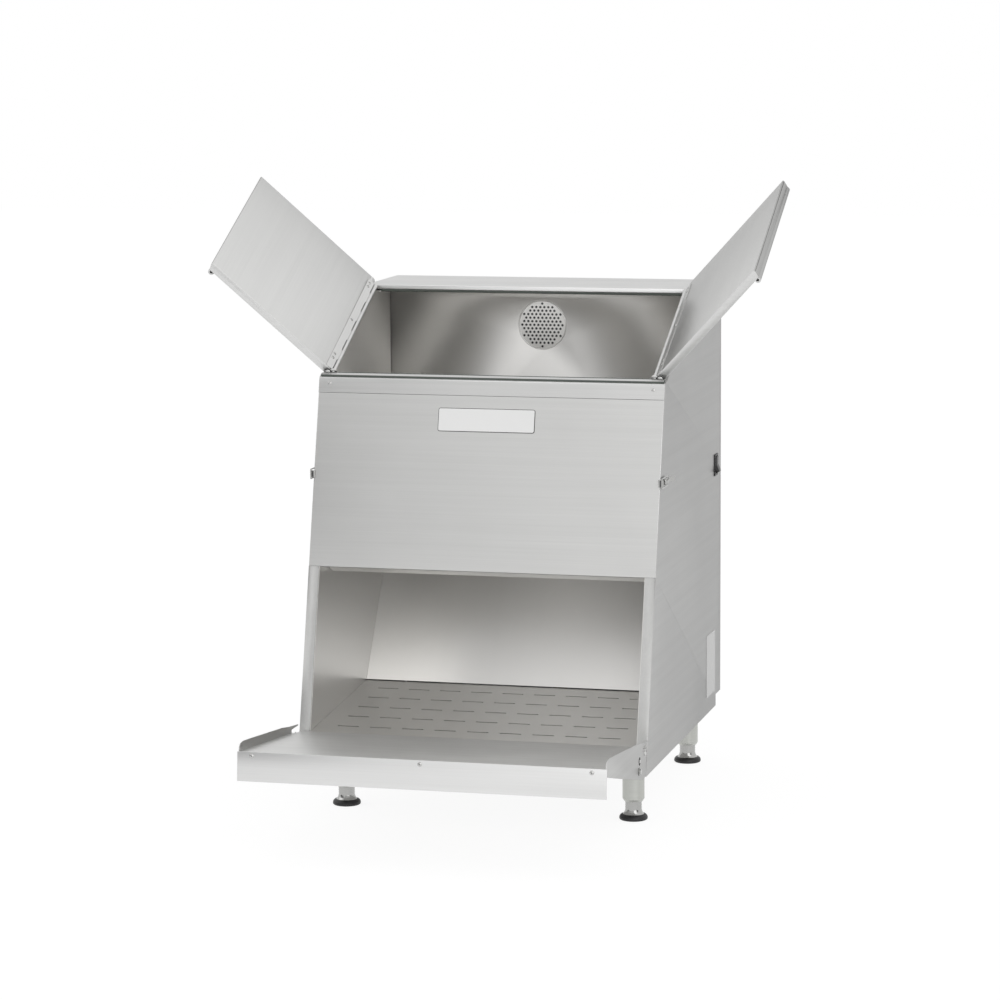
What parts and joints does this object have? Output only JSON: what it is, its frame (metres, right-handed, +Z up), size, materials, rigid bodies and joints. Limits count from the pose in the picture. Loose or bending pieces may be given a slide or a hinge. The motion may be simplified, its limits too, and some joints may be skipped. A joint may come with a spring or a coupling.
{
  "type": "chip warmer",
  "caption": "Stainless food warmer cabinet with a sloping front, butterfly top lids, a fold-down serving tray, side draw latches, heater blower and adjustable feet.",
  "frame": {"origin": "on the floor, under the middle of the whole object's bounding box with the lids open and the tray down", "axes": "+Z up, +Y towards the back, +X towards the user's right when facing the tray"},
  "size_m": [0.9018, 0.9396, 1.0139],
  "materials": {
    "stainless": "brushed, light grey",
    "liner_steel": "mill finish, satin",
    "bright_steel": "polished",
    "leg_steel": "turned, satin",
    "galvanised": "zinc coated, dull",
    "heater_steel": "dark oxide",
    "insulation": "mineral wool",
    "gasket": "matt",
    "rubber": "matt",
    "foot_plastic": "black, smooth",
    "black_plastic": "black, semi-gloss",
    "light_plastic": "cream",
    "motor_paint": "black paint",
    "brass_part": "plain",
    "plate": "white enamel",
    "label": "light grey film"
  },
  "bodies": {
    "cabinet": {"left_side_panel": "stainless", "right_side_panel": "stainless", "left_side_liner": "liner_steel", "right_side_liner": "liner_steel", "front_cap": "stainless", "front_panel": "stainless", "front_panel_liner": "liner_steel", "chip_baffle": "liner_steel", "top_panel": "stainless", "back_panel": "stainless", "base_pan": "liner_steel", "lid_gaskets": "gasket", "nameplate": "plate", "data_plate": "label", "room_back": "liner_steel", "intake_grille": "liner_steel", "room_floor": "liner_steel", "cabinet_insulation": "insulation", "lid_hinge_leaves": "stainless", "lid_hinge_rods": "bright_steel", "tray_brackets": "bright_steel", "tray_bumpers": "rubber", "legs": "leg_steel", "latch_bases": "bright_steel", "latch_keepers": "bright_steel", "switch_body": "black_plastic", "blower_housing": "galvanised", "blower_motor": "motor_paint", "air_duct": "galvanised", "heater_element": "heater_steel", "thermostat": "black_plastic", "overheat_cutout": "brass_part", "terminal_block": "light_plastic", "cable_gland": "black_plastic", "cabinet_screws": "bright_steel"},
    "left_lid": {"left_lid_outer_skin": "stainless", "left_lid_inner_skin": "liner_steel", "left_lid_insulation": "insulation", "left_lid_leaf": "stainless"},
    "right_lid": {"right_lid_outer_skin": "stainless", "right_lid_inner_skin": "liner_steel", "right_lid_insulation": "insulation", "right_lid_leaf": "stainless"},
    "tray_door": {"tray_sheet": "stainless", "left_tray_wing": "stainless", "right_tray_wing": "stainless", "tray_strip": "stainless", "tray_fasteners": "bright_steel"},
    "front_left_leveller": {"front_left_foot": "foot_plastic"},
    "front_right_leveller": {"front_right_foot": "foot_plastic"},
    "rear_left_leveller": {"rear_left_foot": "foot_plastic"},
    "rear_right_leveller": {"rear_right_foot": "foot_plastic"},
    "left_lever": {"left_latch_lever": "bright_steel"},
    "left_bail": {"left_latch_bail": "bright_steel"},
    "right_lever": {"right_latch_lever": "bright_steel"},
    "right_bail": {"right_latch_bail": "bright_steel"},
    "rocker": {"switch_rocker": "black_plastic"},
    "impeller": {"blower_impeller": "galvanised"}
  },
  "joints": [
    {"name": "left_lid_hinge", "type": "hinge", "parent": "cabinet", "child": "left_lid", "pos_m": [-0.2665, -0.02945, 0.70044], "axis": [0, 0.9003, 0.4352], "range_deg": [0, 131]},
    {"name": "right_lid_hinge", "type": "hinge", "parent": "cabinet", "child": "right_lid", "pos_m": [0.2665, -0.02945, 0.70044], "axis": [0, -0.9003, -0.4352], "range_deg": [0, 131]},
    {"name": "tray_hinge", "type": "hinge", "parent": "cabinet", "child": "tray_door", "pos_m": [0, -0.18869, 0.1385], "axis": [-1, 0, 0], "range_deg": [0, 97.8]},
    {"name": "front_left_foot_travel", "type": "slide", "parent": "cabinet", "child": "front_left_leveller", "axis": [0, 0, -1], "range_m": [-0.014, 0.02]},
    {"name": "front_right_foot_travel", "type": "slide", "parent": "cabinet", "child": "front_right_leveller", "axis": [0, 0, -1], "range_m": [-0.014, 0.02]},
    {"name": "rear_left_foot_travel", "type": "slide", "parent": "cabinet", "child": "rear_left_leveller", "axis": [0, 0, -1], "range_m": [-0.014, 0.02]},
    {"name": "rear_right_foot_travel", "type": "slide", "parent": "cabinet", "child": "rear_right_leveller", "axis": [0, 0, -1], "range_m": [-0.014, 0.02]},
    {"name": "right_latch_turn", "type": "hinge", "parent": "cabinet", "child": "right_lever", "pos_m": [0.2898, -0.04369, 0.547], "axis": [0, 0, -1], "range_deg": [0, 100]},
    {"name": "right_bail_swing", "type": "hinge", "parent": "right_lever", "child": "right_bail", "pos_m": [0.2898, -0.02969, 0.547], "axis": [0, 0, -1], "range_deg": [-131, 0]},
    {"name": "left_latch_turn", "type": "hinge", "parent": "cabinet", "child": "left_lever", "pos_m": [-0.2898, -0.04369, 0.547], "axis": [0, 0, 1], "range_deg": [0, 100]},
    {"name": "left_bail_swing", "type": "hinge", "parent": "left_lever", "child": "left_bail", "pos_m": [-0.2898, -0.02969, 0.547], "axis": [0, 0, 1], "range_deg": [-131, 0]},
    {"name": "switch_press", "type": "hinge", "parent": "cabinet", "child": "rocker", "pos_m": [0.283, 0.39631, 0.5165], "axis": [0, 1, 0], "range_deg": [0, 20]},
    {"name": "impeller_spin", "type": "hinge", "parent": "cabinet", "child": "impeller", "pos_m": [0, 0.32631, 0.1766], "axis": [1, 0, 0], "continuous": true}
  ],
  "couplings": [
    {"joint": "right_bail_swing", "follows": "right_latch_turn", "ratio": -1.3},
    {"joint": "left_bail_swing", "follows": "left_latch_turn", "ratio": -1.3}
  ]
}
